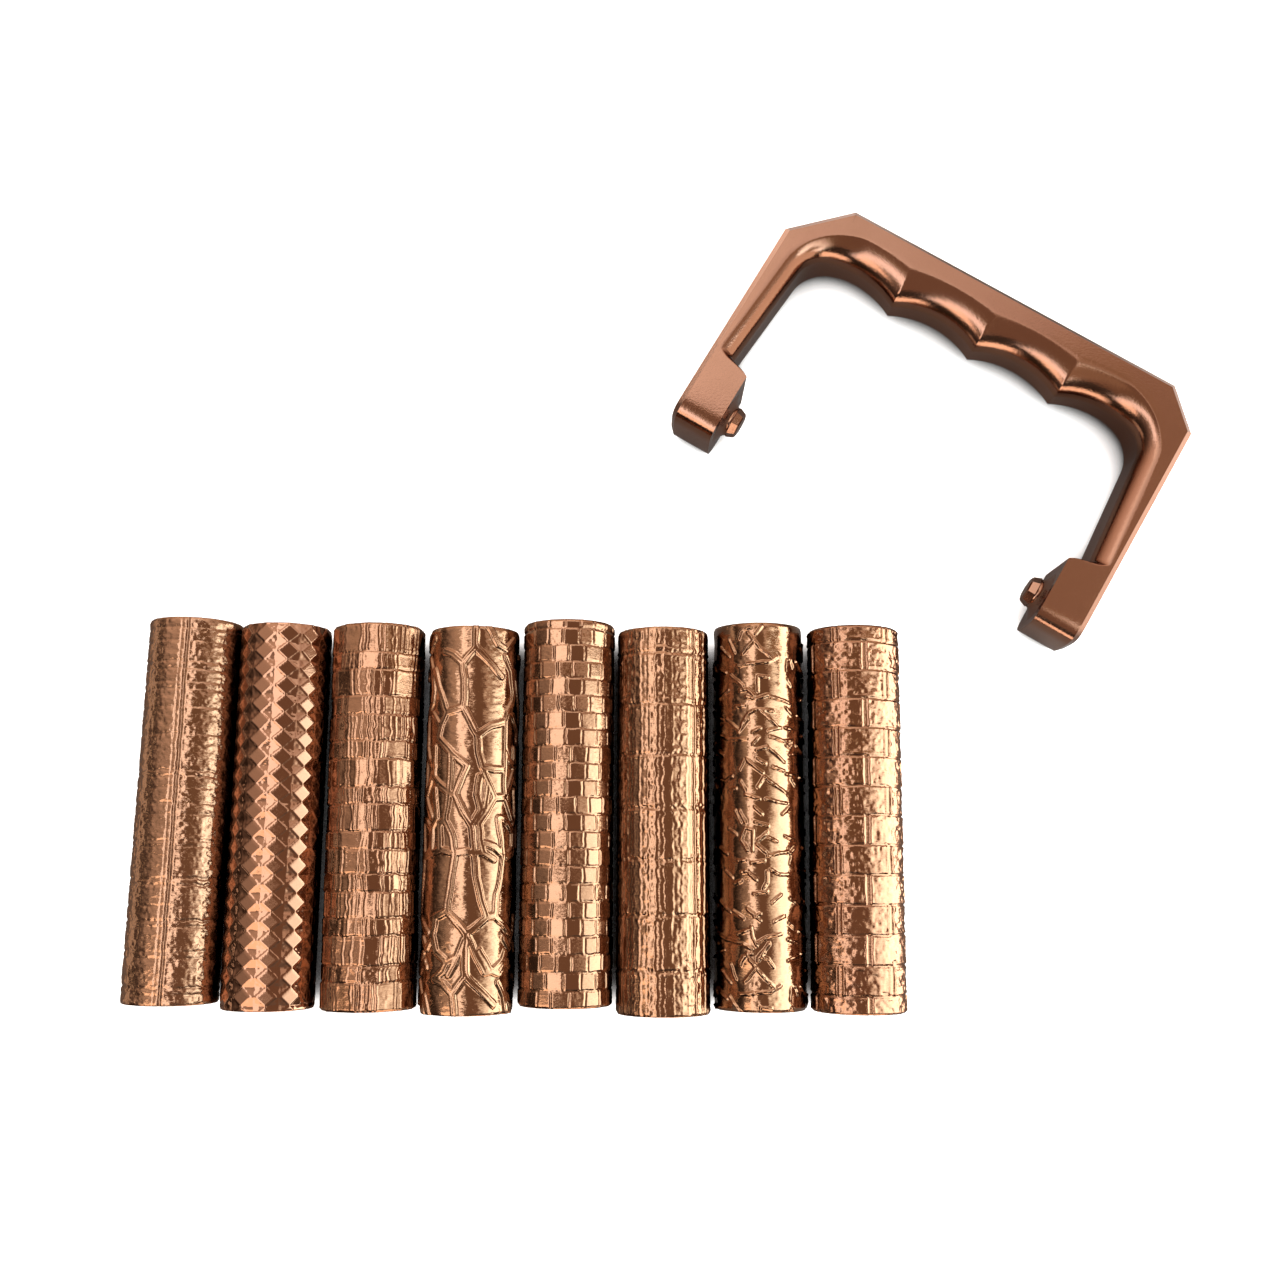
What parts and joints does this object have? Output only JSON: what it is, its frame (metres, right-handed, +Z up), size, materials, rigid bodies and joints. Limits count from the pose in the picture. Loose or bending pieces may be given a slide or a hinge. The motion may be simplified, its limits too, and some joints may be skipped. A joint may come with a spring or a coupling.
{
  "type": "clay texture roller set",
  "caption": "Snap-in clay texture roller: a U-shaped finger-grip handle and a row of loose patterned rollers with through bores, printed in copper silk plastic",
  "frame": {"origin": "under the middle of the whole set, on the table it lies on", "axes": "+Z is up from the table; +X runs along the row of rollers from the rough plank roller to the stone block roller; +Y runs from the rollers' near ends to the handle"},
  "size_m": [0.2858, 0.2206, 0.0249],
  "materials": {
    "silk_copper_handle": "copper silk printed plastic, smooth top, fine print lines on the walls",
    "silk_copper_roller_rough_plank": "copper silk printed plastic with a raised rough plank pattern",
    "silk_copper_roller_diamond_knurl": "copper silk printed plastic with a raised diamond knurl pattern",
    "silk_copper_roller_ashlar_course": "copper silk printed plastic with a raised coursed stone pattern",
    "silk_copper_roller_cracked_stone": "copper silk printed plastic with a raised cracked stone pattern",
    "silk_copper_roller_small_tile": "copper silk printed plastic with a raised small tile pattern",
    "silk_copper_roller_wood_strip": "copper silk printed plastic with a raised wood strip pattern",
    "silk_copper_roller_straw": "copper silk printed plastic with a raised scattered straw pattern",
    "silk_copper_roller_stone_block": "copper silk printed plastic with a raised stone block pattern"
  },
  "bodies": {
    "handle_body": {"handle": "silk_copper_handle"},
    "roller_rough_plank_body": {"roller_rough_plank": "silk_copper_roller_rough_plank"},
    "roller_diamond_knurl_body": {"roller_diamond_knurl": "silk_copper_roller_diamond_knurl"},
    "roller_ashlar_course_body": {"roller_ashlar_course": "silk_copper_roller_ashlar_course"},
    "roller_cracked_stone_body": {"roller_cracked_stone": "silk_copper_roller_cracked_stone"},
    "roller_small_tile_body": {"roller_small_tile": "silk_copper_roller_small_tile"},
    "roller_wood_strip_body": {"roller_wood_strip": "silk_copper_roller_wood_strip"},
    "roller_straw_body": {"roller_straw": "silk_copper_roller_straw"},
    "roller_stone_block_body": {"roller_stone_block": "silk_copper_roller_stone_block"}
  },
  "joints": [
    {"name": "rough_plank_spin", "type": "hinge", "parent": "handle_body", "child": "roller_rough_plank_body", "pos_m": [-0.13021, -0.05785, 0.01225], "axis": [0.012, 0.9999, 0], "continuous": true},
    {"name": "diamond_knurl_spin", "type": "hinge", "parent": "handle_body", "child": "roller_diamond_knurl_body", "pos_m": [-0.10527, -0.05926, 0.0121], "axis": [0.004, 1, 0], "continuous": true},
    {"name": "ashlar_course_spin", "type": "hinge", "parent": "handle_body", "child": "roller_ashlar_course_body", "pos_m": [-0.07957, -0.0594, 0.01245], "axis": [-0.005, 1, 0], "continuous": true},
    {"name": "cracked_stone_spin", "type": "hinge", "parent": "handle_body", "child": "roller_cracked_stone_body", "pos_m": [-0.05387, -0.06027, 0.01245], "axis": [0.003, 1, 0], "continuous": true},
    {"name": "small_tile_spin", "type": "hinge", "parent": "handle_body", "child": "roller_small_tile_body", "pos_m": [-0.02826, -0.05852, 0.01245], "axis": [0.003, 1, 0], "continuous": true},
    {"name": "wood_strip_spin", "type": "hinge", "parent": "handle_body", "child": "roller_wood_strip_body", "pos_m": [-0.00287, -0.06056, 0.01245], "axis": [0.003, 1, 0], "continuous": true},
    {"name": "straw_spin", "type": "hinge", "parent": "handle_body", "child": "roller_straw_body", "pos_m": [0.02263, -0.05942, 0.01245], "axis": [0.008, 1, 0], "continuous": true},
    {"name": "stone_block_spin", "type": "hinge", "parent": "handle_body", "child": "roller_stone_block_body", "pos_m": [0.04824, -0.06005, 0.01245], "axis": [0.012, 0.9999, 0], "continuous": true}
  ]
}
